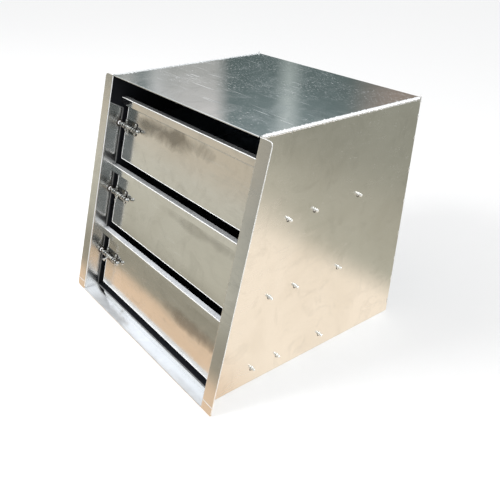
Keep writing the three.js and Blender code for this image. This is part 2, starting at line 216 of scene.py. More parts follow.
# ---- materials ----
UP_SLANT = (0, math.sin(SLANT), math.cos(SLANT))
INTO_SLANT = (0, math.cos(SLANT), -math.sin(SLANT))
INTERIOR_SHADE_FROM = (0.040, 0.045)        # behind the slanted front, where the painted interior shade sets in
INTERIOR_SHADE_LIFT = (0.090, 0.065)        # below the top, where the painted interior shade starts to set in sooner
SCRATCH_TURNS = ((0.4, 0.2, 0.7), (1.1, 0.8, 2.0), (0.2, 1.4, 1.2))
LINE_TONE = (0.97, 0.97, 0.96)
SCRATCH_TONE = (0.95, 0.95, 0.94)
# Tone of the darker patches on the drawer faces.
DARK_PATCH_TONE = (0.27, 0.25, 0.22)
# Painted shade: the near-black of the cabinet's inside faces behind the front.
INTERIOR_SHADE_TONE = (0.012, 0.013, 0.016)
# Painted reflection: tone of the pale strip at the foot of the bottom drawer face.
FOOT_REFLECTION_TONE = (0.93, 0.95, 1.0)
# Tone of a pale film that is partly chalk and partly painted sky light.
HAZE_AND_SKYLIGHT_TONE = (0.90, 0.94, 1.0)


def set_back(g):
    """Distance behind the slanted front."""
    depth = g.dot(g.coord.outputs["Object"], INTO_SLANT)
    return g.math("SUBTRACT", depth, FRONT_FLOOR * INTO_SLANT[1])


def inside_mask(g, facing):
    """One where a surface faces a direction and lies in the interior far enough behind the front, where shade
    is painted.
    """
    towards = g.dot(g.coord.outputs["Normal"], facing)
    height = g.dot(g.coord.outputs["Object"], (0, 0, 1))
    sooner = g.span(height, HEIGHT - INTERIOR_SHADE_LIFT[0], HEIGHT - INTERIOR_SHADE_LIFT[1], 0.0, 0.050)
    depth = g.math("ADD", set_back(g), sooner)
    return g.math("MULTIPLY", g.span(towards, 0.4, 0.6), g.span(depth, *INTERIOR_SHADE_FROM))


def smudge_mask(g, centre, reach):
    """One inside a soft-edged, ragged patch."""
    scale = tuple(1 / r for r in reach)
    placed = g.place(scale=scale, move=tuple(-c * k for c, k in zip(centre, scale)))
    ragged = g.span(g.noise(g.place(), 14.0, 4.0, 0.6, 0.5), 0.3, 0.7, -0.45, 0.45)
    return g.span(g.math("ADD", g.length(placed), ragged), 0.35, 1.15, 1.0, 0.0)


def scratch_marks(g, shift, move, flecks):
    """Fine scratches in three directions, and short dashes where the sheet is flecked."""
    marks = None
    for i, turn in enumerate(SCRATCH_TURNS):
        placed = g.place(scale=(2.5, 90, 90), turn=turn, move=(i * 3.1 + shift, 0, 0))
        fine = g.noise(placed, 3.0, 2.0, 0.5, 0.2)
        mask = g.noise(g.place(move=(i * 5.7 + shift, 1.3, 2.1)), 6.0, 2.0)
        line = g.math("MULTIPLY", g.span(fine, 0.66, 0.74), g.span(mask, 0.48, 0.62))
        marks = line if marks is None else g.math("MAXIMUM", marks, line)
    if flecks:
        dash = g.noise(g.place(scale=(70, 240, 70), turn=(0, 0, 0.35), move=move), 1.5, 2.0, 0.6)
        mask = g.span(g.noise(g.place(move=(4.0, 2.0, 1.0)), 7.0, 3.0), 0.40, 0.58)
        marks = g.math("MAXIMUM", marks, g.math("MULTIPLY", g.span(dash, 0.60, 0.69), mask))
    return marks


def sheet_metal(
    name, tones, rough, grain, shift=0.0, blotch=1.0, scratch=1.0, wave=1.0, flecks=False,
    haze_and_skylight=0.0, haze_and_skylight_end=(0.5, 0.6), shaded_facing=None, dark_patch=None, foot_reflection=None
):
    """Bare rolled sheet: tone drifts and stains, mill lines along the grain, scratches and a slight waviness.

    haze_and_skylight is a pale bluish film on faces that look up, out to haze_and_skylight_end behind the
    front: partly a chalky film, partly painted sky light.
    shaded_facing is the direction of the faces painted in near-black interior shade. dark_patch is a darker
    patch, and foot_reflection a pale strip up from the floor, a painted reflection of the floor strip.
    """
    material = bpy.data.materials.new(name)
    tree, shader = nodes_of(material)
    shader.inputs["Specular IOR Level"].default_value = 0.1
    g = Graph(tree)
    move = (shift, shift * 0.7, shift * 1.3)
    plain = g.place(move=move)
    along = {"x": (0.6, 60, 60), "y": (60, 0.6, 60), "z": (60, 60, 0.6)}[grain]
    lines = g.noise(g.place(scale=along, move=move), 5.0, 4.0, 0.6)
    clouds = g.noise(plain, 4.5, 4.0, 0.55, 0.6)
    stain = g.noise(plain, 16.0, 5.0, 0.6, 1.2)
    smear = g.noise(g.place(scale=(1, 1, 3), turn=(0.5, 0.3, 0.8), move=move), 9.0, 4.0, 0.6, 2.0)
    colour = g.ramp(g.span(clouds, 0.3, 0.7), [(0.0, tones[0]), (0.5, tones[1]), (1.0, tones[2])])
    colour = g.mix(g.span(stain, 0.52, 0.75, 0.0, 0.35 * blotch), colour, tuple(c * 0.72 for c in tones[0]))
    colour = g.mix(g.span(lines, 0.35, 0.7, 0.0, 0.10), colour, LINE_TONE)
    marks = scratch_marks(g, shift, move, flecks)
    colour = g.mix(g.math("MULTIPLY", marks, 0.5 * scratch), colour, SCRATCH_TONE)
    value = g.span(clouds, 0.25, 0.75, rough[0], rough[1])
    value = g.math("ADD", value, g.span(smear, 0.45, 0.7, 0.0, 0.08 * blotch))
    value = g.math("ADD", value, g.math("MULTIPLY", marks, 0.10 * scratch))
    sheen = g.math("SUBTRACT", 1.0, g.math("MULTIPLY", marks, 0.30 * scratch))
    # A darker, rougher patch laid over the sheet where listed.
    if dark_patch:
        centre, reach, strength = dark_patch
        patch = smudge_mask(g, centre, reach)
        colour = g.mix(g.math("MULTIPLY", patch, strength), colour, DARK_PATCH_TONE)
        value = g.math("ADD", value, g.math("MULTIPLY", patch, 0.10))
    # Painted shade: faces inside the cabinet, behind the front, turn near-black, matt and rougher.
    if shaded_facing:
        interior_shade = inside_mask(g, shaded_facing)
        colour = g.mix(interior_shade, colour, INTERIOR_SHADE_TONE)
        value = g.math("ADD", value, g.math("MULTIPLY", interior_shade, 0.40))
        sheen = g.math("MULTIPLY", sheen, g.math("SUBTRACT", 1.0, interior_shade))
    # Painted reflection: a pale bluish strip up from the floor on the face, for the bright floor strip
    # mirrored in it.
    if foot_reflection:
        rise = g.math("SUBTRACT", g.dot(g.coord.outputs["Object"], UP_SLANT), FRONT_FLOOR * UP_SLANT[1])
        uneven = g.math("ADD", rise, g.span(stain, 0.3, 0.7, -0.002, 0.002))
        pale_reflection = g.span(uneven, *foot_reflection, 0.6, 0.0)
        colour = g.mix(pale_reflection, colour, FOOT_REFLECTION_TONE)
        sheen = g.math("SUBTRACT", sheen, pale_reflection)
    # Pale bluish film on faces that look up, near the front: partly a chalky film, partly painted sky light.
    if haze_and_skylight:
        chalk_and_skylight = g.span(g.dot(g.coord.outputs["Normal"], (0, 0, 1)), 0.75, 0.95)
        chalk_and_skylight = g.math("MULTIPLY", chalk_and_skylight, g.span(stain, 0.3, 0.7, haze_and_skylight * 1.1, haze_and_skylight * 0.85))
        chalk_and_skylight = g.math("MULTIPLY", chalk_and_skylight, g.span(set_back(g), *haze_and_skylight_end, 1.0, 0.0))
        colour = g.mix(chalk_and_skylight, colour, HAZE_AND_SKYLIGHT_TONE)
        sheen = g.math("SUBTRACT", sheen, chalk_and_skylight)
    g.link(colour, shader.inputs["Base Color"])
    g.link(value, shader.inputs["Roughness"])
    g.link(sheen, shader.inputs["Metallic"])
    wavy = g.noise(g.place(move=move), 3.2, 1.0, 0.4)
    dents = g.noise(g.place(move=(1.7 + shift, 0.4, 3.3)), 22.0, 2.0, 0.5)
    normal = g.bump(wavy, 0.004 * wave, 0.5)
    normal = g.bump(dents, 0.00025 * wave, 0.35, normal)
    normal = g.bump(lines, 0.00003, 0.4, normal)
    normal = g.bump(marks, 0.00008, 0.3 * scratch, normal)
    g.link(normal, shader.inputs["Normal"])
    return material


def plated(name, tones, rough, scale=1.0, metallic=1.0):
    """Bright plated or worked metal with a fine orange peel, worn and dulled in patches."""
    material = bpy.data.materials.new(name)
    tree, shader = nodes_of(material)
    g = Graph(tree)
    patches = g.noise(g.place(), 90 * scale, 4.0, 0.6, 0.5)
    speck = g.noise(g.place(move=(2, 1, 0)), 700 * scale, 2.0, 0.5)
    colour = g.ramp(g.span(patches, 0.3, 0.7), [(0.0, tones[0]), (1.0, tones[1])])
    colour = g.mix(g.span(speck, 0.62, 0.75, 0.0, 0.35), colour, tuple(c * 0.55 for c in tones[0]))
    g.link(colour, shader.inputs["Base Color"])
    g.link(g.span(patches, 0.3, 0.75, rough[0], rough[1]), shader.inputs["Roughness"])
    g.link(g.bump(patches, 0.0002, 0.4, g.bump(speck, 0.00003, 0.4)), shader.inputs["Normal"])
    shader.inputs["Metallic"].default_value = metallic
    return material


COOL = ((0.76, 0.78, 0.775), (0.85, 0.86, 0.855), (0.90, 0.905, 0.895))
WARM = ((0.84, 0.83, 0.80), (0.90, 0.895, 0.875), (0.93, 0.925, 0.905))
SHADED = ((0.30, 0.33, 0.36), (0.40, 0.43, 0.46), (0.50, 0.53, 0.56))
FOOT_REFLECTION_STRIP = (0.0305, 0.0385)        # how far up the slant the painted reflection strip fades out
top_metal = sheet_metal(
    "top_sheet", COOL, (0.05, 0.11), "y", blotch=1.3, scratch=1.6, wave=0.2, flecks=True, shaded_facing=(0, 0, -1)
)
side_metal = {
    side: sheet_metal(
        "side_sheet_" + side, WARM, (0.17, 0.24), "z", 3.0, blotch=0.9, scratch=0.4, wave=0.5,
        shaded_facing=(facing, 0, 0)
    )
    for side, facing in (("left", 1), ("right", -1))
}
inner_metal = sheet_metal(
    "inner_sheet", COOL, (0.18, 0.26), "x", 5.0, scratch=0.4, wave=0.5, shaded_facing=(0, -1, 0)
)
# Painted light and shade on the floor: the pale film stops 28 to 34 mm behind the front, and the floor
# further in is painted in interior shade.
floor_metal = sheet_metal(
    "floor_sheet", COOL, (0.06, 0.10), "x", 7.0, blotch=0.3, scratch=0.5, wave=0.1,
    haze_and_skylight=0.50, haze_and_skylight_end=(0.028, 0.034), shaded_facing=(0, 0, 1)
)
# Each dark patch's middle, its reach along X, Y and Z, and its strength.
DARK_PATCHES = {
    "bottom": ((0.15, -0.24, 0.10), (0.13, 1.0, 0.018), 0.55),
    "middle": ((0.12, -0.20, 0.322), (0.18, 1.0, 0.014), 0.25),
    "top": ((-0.09, -0.16, 0.496), (0.19, 1.0, 0.024), 0.75),
}
face_metal = {
    tier: sheet_metal(
        "drawer_sheet_" + tier, WARM, (0.09, 0.14), "x", 9.0, blotch=1.1, scratch=0.3, wave=0.25,
        shaded_facing=(0, 0, -1), dark_patch=DARK_PATCHES[tier], foot_reflection=FOOT_REFLECTION_STRIP if tier == "bottom" else None
    )
    for tier in TIERS
}
tray_metal = sheet_metal("tray_sheet", SHADED, (0.28, 0.38), "x", 11.0, shaded_facing=(0, 0, -1))
# Painted light: the film is heaviest on the bottom rail, which takes the most light, and slight on the top
# rail in the shade of the top.
RAIL_HAZE_AND_SKYLIGHT = {"bottom": 0.75, "middle": 0.35, "top": 0.15}
rail_metal = {
    tier: sheet_metal("rail_sheet_" + tier, WARM, (0.09, 0.14), "x", 13.0, scratch=0.3, wave=0.15, haze_and_skylight=haze_and_skylight)
    for tier, haze_and_skylight in RAIL_HAZE_AND_SKYLIGHT.items()
}
# Painted highlight: a near-white, mostly matt finish for bright edge bars and edge bevels.
edge_highlight = plated("painted_edge_highlight", ((0.93, 0.93, 0.92), (0.99, 0.99, 0.98)), (0.30, 0.45), metallic=0.15)
weld_metal = plated("weld_bead", ((0.88, 0.88, 0.87), (0.97, 0.97, 0.97)), (0.25, 0.45), 2.0, 0.5)
# Painted shade: near-black slides, so the gaps they sit in stay dark.
shaded_slide_metal = plated("slide_painted_shade", ((0.10, 0.105, 0.11), (0.20, 0.205, 0.21)), (0.28, 0.42))
latch_metal = plated("latch_plating", ((0.66, 0.65, 0.61), (0.98, 0.96, 0.91)), (0.06, 0.14), 2.0, 0.9)
# Painted shade: a dark finish for the latch plate, the barrels' middles, and the rod's rear run and knob.
shaded_plate_metal = plated("latch_plate_painted_shade", ((0.07, 0.07, 0.065), (0.24, 0.235, 0.22)), (0.12, 0.22), 2.0)
rivet_metal = plated("rivet_alloy", ((0.88, 0.86, 0.80), (0.98, 0.97, 0.92)), (0.20, 0.32), 2.0, 0.4)
# Painted reflection: a grey-brown finish for the floor panel's edge bevels.
painted_edge_reflection = plated("painted_edge_reflection", ((0.20, 0.17, 0.14), (0.34, 0.30, 0.25)), (0.35, 0.5))
# Dark finish: soot round the bolt holes, and painted shade and shadow round the screws, the barrel ends and
# the rivets.
grime_and_shade = plated("grime_and_shade", ((0.05, 0.042, 0.035), (0.13, 0.11, 0.09)), (0.5, 0.7), 2.0, 0.2)


def paint(node, material, bevel=0.3, edge=None):
    """A carried-over CAD node: its material, and softly broken edges that may take a finish of their own,
    such as a painted highlight or a painted reflection.
    """
    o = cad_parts[node]
    o.data.materials.clear()
    o.data.materials.append(material)
    if bevel:
        m = o.modifiers.new("edges", "BEVEL")
        m.width = bevel * MM
        m.segments = 2
        m.limit_method = "ANGLE"
        m.angle_limit = math.radians(40)
        m.harden_normals = False
        if edge is not None:
            o.data.materials.append(edge)
            m.material = 1


paint("top_panel", top_metal, 0.5, edge_highlight)
paint("back_panel", inner_metal)
paint("floor_panel", floor_metal, 0.5, painted_edge_reflection)
for side in SIDES:
    paint("side_panel_" + side, side_metal[side], 0)
for tier in TIERS:
    paint("rail_" + tier, rail_metal[tier], 0)
    paint("drawer_face_" + tier, face_metal[tier], 0)
    paint("drawer_tray_" + tier, tray_metal)
    for side in SIDES:
        for kind in ("outer", "middle", "inner"):
            paint("_".join(("slide", kind, tier, side)), shaded_slide_metal)


# ---- detailed pieces ----
MILLI = Matrix.Scale(MM, 4)
PLATE_SHEET = 1.5                     # thickness of a bolt's base plate, in mm
ROD_OFF_PLATE = 6.0                   # rod's middle in front of the plate
BARREL_LENGTH = 11.5
LEVER_DROP = {"bottom": 28, "middle": 70, "top": 86}        # degrees below level
FLANGE_CORNER = 10.0                  # radius of the flange's upper outer corner, in mm
SQUARE = (TILT.to_3x3() @ Vector((0, 1, 0))).normalized()


def sign_of(side):
    """The way out of the cabinet along X."""
    return 1 if side == "right" else -1


def drift(a, b, c):
    """A smooth made-up value between about -1 and 1, the same each run."""
    return noise.noise(Vector((a, b, c)))


def piece(name, bm, materials, body, replaced=(), smooth=50):
    """A mesh piece that rides on a body and takes its finish from a slot."""
    bmesh.ops.recalc_face_normals(bm, faces=bm.faces)
    mesh = bpy.data.meshes.new(name)
    bm.to_mesh(mesh)
    bm.free()
    for material in materials:
        mesh.materials.append(material)
    mesh.shade_smooth()
    mesh.set_sharp_from_angle(angle=math.radians(smooth))
    o = bpy.data.objects.new(name, mesh)
    bpy.context.collection.objects.link(o)
    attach(o, body)
    if replaced:
        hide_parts(*replaced)


def ring_of(bm, place, along, radius, steps):
    """Points round the X axis, or a single one where the radius is zero."""
    if radius == 0:
        return [bm.verts.new(place @ Vector((along, 0, 0)))]
    turn = [2 * math.pi * k / steps for k in range(steps)]
    points = [Vector((along, radius * math.cos(a), radius * math.sin(a))) for a in turn]
    return [bm.verts.new(place @ point) for point in points]


def lathe(bm, profile, place, steps=28, slots=0):
    """Turns a profile of (along, radius) pairs about the X axis; slots is one finish or one per segment."""
    rings = [ring_of(bm, place, along, radius, steps) for along, radius in profile]
    made = []
    for i, (low, high) in enumerate(zip(rings, rings[1:])):
        for k in range(steps):
            n = (k + 1) % steps
            if len(low) == 1:
                corners = (low[0], high[k], high[n])
            elif len(high) == 1:
                corners = (low[k], high[0], low[n])
            else:
                corners = (low[k], high[k], high[n], low[n])
            face = bm.faces.new(corners)
            face.material_index = slots[i] if isinstance(slots, tuple) else slots
            made.append(face)
    return made


def ringed(bm, profile, place, steps=28, slot=0):
    """Turns a closed ring of (along, radius) pairs about the X axis, as for a tube."""
    loops = [ring_of(bm, place, along, radius, steps) for along, radius in profile]
    for low, high in zip(loops, loops[1:] + loops[:1]):
        for k in range(steps):
            n = (k + 1) % steps
            bm.faces.new((low[k], high[k], high[n], low[n])).material_index = slot


def slab(bm, low, high, place, round_off, corner=0.0, slot=0):
    """A block between two corners with rounded edges; corner rounds the four edges that run along Y."""
    part = bmesh.new()
    bmesh.ops.create_cube(part, size=1)
    size = Vector(high) - Vector(low)
    middle = (Vector(high) + Vector(low)) / 2
    grow = Matrix.Translation(middle) @ Matrix.Diagonal((*size, 1))
    bmesh.ops.transform(part, matrix=grow, verts=part.verts)
    if corner:
        upright = [e for e in part.edges if abs((e.verts[0].co - e.verts[1].co).normalized().y) > 0.9]
        bmesh.ops.bevel(part, geom=upright, offset=corner, segments=5, profile=0.5, affect="EDGES")
    rims = [e for e in part.edges if e.calc_face_angle(0) > 0.6]
    bmesh.ops.bevel(part, geom=rims, offset=round_off, segments=2, profile=0.5, affect="EDGES")
    bmesh.ops.transform(part, matrix=place, verts=part.verts)
    for face in part.faces:
        face.material_index = slot
    mesh = bpy.data.meshes.new("part")
    part.to_mesh(mesh)
    part.free()
    bm.from_mesh(mesh)
    bpy.data.meshes.remove(mesh)


# Profiles of the bolt's round parts, in mm along and off their own axis.
SCREW_IN = 5                          # screws in from the plate's edges
SCREW_HEAD = ((-0.1, 4.1), (0.9, 4.0), (2.0, 3.3), (2.5, 2.0), (2.55, 1.0), (1.6, 0.8), (1.5, 0))
# Painted shade: a dark ring round the foot of each screw head.
SCREW_FOOT_SHADE = ((0.02, 3.9), (0.02, 5.0), (0.3, 4.7), (0.3, 3.9))
BARREL_IN = 0.5                       # barrels in from the plate's ends
BARREL_FEET = (-7.6, 5.6)             # lower edges of a barrel's two feet, from the rod's middle
RIM_LONG = 2.8
BARREL_RIM = ((0, 4.6), (0, 6.4), (0.6, 7.0), (2.2, 7.0), (RIM_LONG, 6.4), (RIM_LONG, 4.6))
BARREL_TUBE = ((2.6, 4.7), (2.6, 6.4), (8.9, 6.4), (8.9, 4.7))
# Painted shade: dark rings where the rod goes into a barrel.
BARREL_END_SHADE = ((0, 4.3), (0, 5.0), (1.2, 5.0), (1.2, 4.3))
SHAFT_FROM_TIP = ((0, 0), (0, 2.9), (1.2, 4.0), (84, 4.0), (85, 2.7))
SHAFT_FROM_END = (
    (-11.3, 2.8), (-10.4, 4.1), (-8.4, 5.5), (-6, 6.0), (-3.6, 5.5), (-1.4, 3.8), (-0.2, 1.5), (0, 0),
)
# Slot 1 gives the painted-shade finish to the rod's thin rear run and the inner half of the knob.
SHAFT_SLOTS = (0, 0, 0, 1, 1, 1, 1, 1, 0, 0, 0, 0)
COLLAR_FROM_PLATE = 27.5
COLLAR = ((-3.2, 3.9), (-3.2, 5.4), (-2.6, 5.9), (2.6, 5.9), (3.2, 5.4), (3.2, 3.9))
LEVER_LOW, LEVER_HIGH = (-3.0, -19, -1.3), (3.0, -3.5, 1.3)
TAB_REACH = 18.2                      # the lever's thick end, off the rod's middle
LEVER_TAB = ((-4.4, 0), (-4.4, 1.6), (-3.4, 2.6), (3.4, 2.6), (4.4, 1.6), (4.4, 0))


def shifted(profile, by):
    """A profile moved along its axis."""
    return [(along + by, radius) for along, radius in profile]


def latch(tier):
    """Barrel bolt: a screwed plate with two barrels, and the rod with lever and knob that slides in them."""
    low, high = tilted_box("latch_plate_" + tier)
    rod_low, rod_high = tilted_box("latch_bolt_" + tier)
    left, right = low.x / MM, high.x / MM
    centre_z = (low.z + high.z) / 2 / MM
    half = (high.z - low.z) / 2 / MM
    face = high.y / MM - PLATE_SHEET
    rod_y = face - ROD_OFF_PLATE
    place = TILT @ MILLI
    bm = bmesh.new()
    # The plate takes the painted-shade finish.
    slab(bm, (left, face, centre_z - half), (right, face + PLATE_SHEET, centre_z + half), place, 0.35, 4.0, 1)
    for x in (left + SCREW_IN, right - SCREW_IN):
        for z in (centre_z - half + SCREW_IN, centre_z + half - SCREW_IN):
            at = place @ Matrix.Translation((x, face, z)) @ Matrix.Rotation(math.radians(-90), 4, "Z")
            lathe(bm, SCREW_HEAD, at, 20)
            # Painted shade round the screw head's foot.
            ringed(bm, SCREW_FOOT_SHADE, at, 20, 2)
    for x in (left + BARREL_IN, right - BARREL_IN - BARREL_LENGTH):
        at = place @ Matrix.Translation((x, rod_y, centre_z))
        for start in (0, BARREL_LENGTH - RIM_LONG):
            ringed(bm, shifted(BARREL_RIM, start), at)
        # The barrel's middle takes the painted-shade finish between its bright rims.
        ringed(bm, BARREL_TUBE, at, slot=1)
        # Painted shade at both mouths of the barrel.
        for start in (-1.0, BARREL_LENGTH - 0.2):
            ringed(bm, shifted(BARREL_END_SHADE, start), at, slot=2)
        for foot_reflection in BARREL_FEET:
            z = centre_z + foot_reflection
            slab(bm, (x + 0.8, face - 1.8, z), (x + 10.7, face, z + 2.0), place, 0.6)
    finishes = (latch_metal, shaded_plate_metal, grime_and_shade)
    replaced = ("latch_plate_" + tier,)
    piece("latch_body_" + tier, bm, finishes, "drawer_" + tier, replaced, 40)

    bm = bmesh.new()
    tip, end = rod_low.x / MM, rod_high.x / MM
    at = place @ Matrix.Translation((0, rod_y, centre_z))
    shaft = shifted(SHAFT_FROM_TIP, tip) + shifted(SHAFT_FROM_END, end)
    lathe(bm, shaft, at, slots=SHAFT_SLOTS)
    collar = left + COLLAR_FROM_PLATE
    lathe(bm, shifted(COLLAR, collar), at)
    drop = Matrix.Rotation(math.radians(LEVER_DROP[tier]), 4, "X")
    swing = at @ Matrix.Translation((collar, 0, 0)) @ drop
    slab(bm, LEVER_LOW, LEVER_HIGH, swing, 0.6)
    lathe(bm, LEVER_TAB, swing @ Matrix.Translation((0, -TAB_REACH, 0)), 20)
    finishes = (latch_metal, shaded_plate_metal)
    replaced = ("latch_bolt_" + tier,)
    piece("latch_rod_" + tier, bm, finishes, "bolt_" + tier, replaced, 40)


for tier in TIERS:
    latch(tier)


RIVET_TAIL = (
    (-6, 0), (-6, 3.0), (-1, 3.0), (0, 4.4), (0.7, 4.9), (2.3, 4.6), (3.5, 3.3), (4.4, 3.0), (5.8, 3.6),
    (8.2, 3.7), (10.2, 3.1), (11.3, 2.2), (11.2, 1.3), (12.3, 1.1), (12.4, 0),
)
SHADED_NECK = (2.6, 5.6)               # how far out of the panel the neck's lower half is painted in shade
SHADOW_STEPS = 28
SHADOW_OUT = 0.12                       # the painted shadow round a foot stands this far off the panel


def rivet_row(tier, side):
    """Blind rivets: swelled, slightly crooked tails that stand out of the panel, with a painted shadow round
    the foot and painted shade under the neck.
    """
    sign = sign_of(side)
    bm = bmesh.new()
    names = tuple("_".join(("rivet", tier, side, str(i))) for i in (1, 2, 3))
    for i, name in enumerate(names):
        low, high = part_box(name)
        middle = (low + high) / 2
        surface = HALF / MM
        wild = [drift(i * 2.3 + k * 5.1, middle.z * 30, sign) for k in range(3)]
        at = Matrix.Translation((0, middle.y, middle.z)) @ MILLI @ Matrix.Diagonal((sign, 1, 1, 1))
        at = at @ Matrix.Translation((surface, 0, 0)) @ Matrix.Diagonal((0.92 + 0.16 * wild[0], 1, 1, 1))
        lean = Matrix.Identity(4)
        lean[1][0], lean[2][0] = 0.16 * wild[1], 0.16 * wild[2]
        for face in lathe(bm, RIVET_TAIL, at @ lean, 20):
            centre = face.calc_center_median()
            out = abs(centre.x) / MM - surface
            # Painted shade: the neck's lower half takes the dark finish.
            if SHADED_NECK[0] < out < SHADED_NECK[1] and centre.z < middle.z - 1.0 * MM:
                face.material_index = 1
        # Painted shadow: a ragged dark disc on the panel round the foot, set low and a little forward.
        shadow_outline = []
        for k in range(SHADOW_STEPS):
            a = 2 * math.pi * k / SHADOW_STEPS
            ragged = 6.4 + 1.4 * drift(math.cos(a) * 1.5, math.sin(a) * 1.5, i * 3.7 + middle.z * 20)
            shadow_outline.append((ragged * math.cos(a) * 0.9 - 0.6, ragged * math.sin(a) * 0.75 - 1.6))
        shadow_disc = [bm.verts.new(at @ Vector((SHADOW_OUT, y, z))) for y, z in shadow_outline]
        bm.faces.new(shadow_disc).material_index = 1
    row = "rivet_row_" + tier + "_" + side
    piece(row, bm, (rivet_metal, grime_and_shade), "cabinet", names)


for tier in TIERS:
    for side in SIDES:
        rivet_row(tier, side)


BEAD_ARC = 8                          # faces round a bead's back


def bead(bm, path, across, out, size, pitch, seed, ragged):
    """A rippled weld bead of a (width, height); across and out are directions at right angles to its path."""
    width, height = size
    start, end = Vector(path[0]), Vector(path[1])
    length = (end - start).length
    rows = max(8, round(length / (pitch / 4)))
    rings = []
    for r in range(rows + 1):
        t = r / rows
        s = t * length
        ripple = abs(math.sin(math.pi * s / pitch + drift(s / pitch * 0.4, seed, 0) * 1.2))
        fade = min(1, 6 * min(s, length - s) / (width * 4))
        tall = height * (0.72 + 0.28 * ripple) * (0.25 + 0.75 * fade)
        ring = []
        for k in range(BEAD_ARC + 1):
            a = math.pi * k / BEAD_ARC
            edge = 1 + ragged * drift(s / pitch * 0.9, seed + (9 if k > BEAD_ARC / 2 else 0), 1)
            wide = width / 2 * (0.93 + 0.07 * ripple) * edge * (0.4 + 0.6 * fade)
            offset = across * (-math.cos(a) * wide) + out * (math.sin(a) * tall)
            ring.append(bm.verts.new(start.lerp(end, t) + offset))
        rings.append(ring)
    for low, high in zip(rings, rings[1:]):
        for k in range(BEAD_ARC):
            bm.faces.new((low[k], high[k], high[k + 1], low[k + 1]))
        bm.faces.new((low[0], low[-1], high[-1], high[0]))
    bm.faces.new(rings[0])
    bm.faces.new(list(reversed(rings[-1])))


BEAD_IN = 2.2 * MM                    # bead's axis in from the corner, both ways
DROPS = 16


def weld(side):
    """The bead along an upper edge, with a few drops of spatter below it on the side."""
    sign = sign_of(side)
    low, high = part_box("weld_" + side)
    bm = bmesh.new()
    tilt = Vector((sign, 0, 1)).normalized()
    across = Vector((sign, 0, -1)).normalized()
    corner = Vector((sign * (HALF - BEAD_IN), 0, HEIGHT - BEAD_IN))
    ends = (corner + Vector((0, low.y, 0)), corner + Vector((0, high.y, 0)))
    bead(bm, ends, across, tilt, (9.0 * MM, 3.9 * MM), 5.2 * MM, 3.0 * sign, 0.5)
    for k in range(DROPS):
        y = low.y + (high.y - low.y) * (k + 0.5 + 0.4 * drift(k * 1.7, 2, sign)) / DROPS
        below = (5.5 + 3.5 * abs(drift(k * 2.3, 5, sign))) * MM
        radius = (0.55 + 0.4 * abs(drift(k * 3.1, 8, sign))) * MM
        at = Matrix.Translation((sign * HALF, y, HEIGHT - below))
        bmesh.ops.create_icosphere(bm, subdivisions=1, radius=radius, matrix=at)
    piece("weld_bead_" + side, bm, (weld_metal,), "cabinet", ("weld_" + side,), 80)


# Short welds down a rear corner: each one's lower end and length, in mm.
REAR_TACKS = (
    (584, 22), (548, 12), (497, 10), (412, 16), (330, 10), (233, 16), (162, 10), (98, 14), (22, 18),
)


def tacks(side):
    """Short welds down the rear corner, and the seam across the flange's lower end."""
    sign = sign_of(side)
    bm = bmesh.new()
    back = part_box("back_panel")[1].y
    out = Vector((sign, 1, 0)).normalized()
    across = Vector((sign, -1, 0)).normalized()
    x, y = sign * (HALF - 1.0 * MM), back - 1.0 * MM
    for i, (z, long) in enumerate(REAR_TACKS):
        path = ((x, y, z * MM), (x, y, (z + long) * MM))
        bead(bm, path, across, out, (5.0 * MM, 2.6 * MM), 4.0 * MM, i * 1.9, 0.3)
    up = TILT.to_3x3() @ Vector((0, 0, 1))
    inner = TILT @ Vector((sign * (HALF + 1.0 * MM), 0, 22.5 * MM))
    outer = TILT @ Vector((sign * (HALF + 35.0 * MM), 0, 21.0 * MM))
    bead(bm, (inner, outer), up, -SQUARE, (1.6 * MM, 0.6 * MM), 3.0 * MM, 4.0, 0.6)
    piece("tack_welds_" + side, bm, (weld_metal,), "cabinet", (), 80)


BAR_STEPS = 10
CURVE_STEPS = 6
FACE_BAR, RAIL_BAR, FLANGE_BAR, FOLD_BAR = 0.92 * MM, 1.2 * MM, 0.9 * MM, 1.0 * MM


def sweep(bm, points, flat, radius, closed=False):
    """A round bar along points that lie in the plane square to flat, mitred at each corner."""
    turn = [2 * math.pi * k / BAR_STEPS for k in range(BAR_STEPS)]
    count = len(points)
    rings = []
    for i, point in enumerate(points):
        before = points[i - 1] if closed or i else point
        after = points[(i + 1) % count] if closed or i < count - 1 else point
        came = (point - before) if point != before else (after - point)
        goes = (after - point) if after != point else (point - before)
        came, goes = came.normalized(), goes.normalized()
        along = (came + goes).normalized()
        aside = along.cross(flat).normalized() / max(0.5, along.dot(came))
        around = [flat * (radius * math.cos(t)) + aside * (radius * math.sin(t)) for t in turn]
        rings.append([bm.verts.new(point + offset) for offset in around])
    following = rings[1:] + rings[:1] if closed else rings[1:]
    for low, high in zip(rings, following):
        for k in range(BAR_STEPS):
            n = (k + 1) % BAR_STEPS
            bm.faces.new((low[k], low[n], high[n], high[k]))
    if not closed:
        bm.faces.new(list(reversed(rings[0])))
        bm.faces.new(rings[-1])


def rounded(corners, radii):
    """Points round a polygon in a plane, each corner replaced by an arc-like curve of its radius."""
    points = []
    count = len(corners)
    for i, corner in enumerate(corners):
        radius = radii[i]
        if not radius:
            points.append(corner)
            continue
        back = (corners[i - 1] - corner).normalized()
        on = (corners[(i + 1) % count] - corner).normalized()
        start, end = corner + back * radius, corner + on * radius
        for k in range(CURVE_STEPS + 1):
            t = k / CURVE_STEPS
            points.append(start * (1 - t) ** 2 + corner * (2 * t * (1 - t)) + end * t ** 2)
    return points


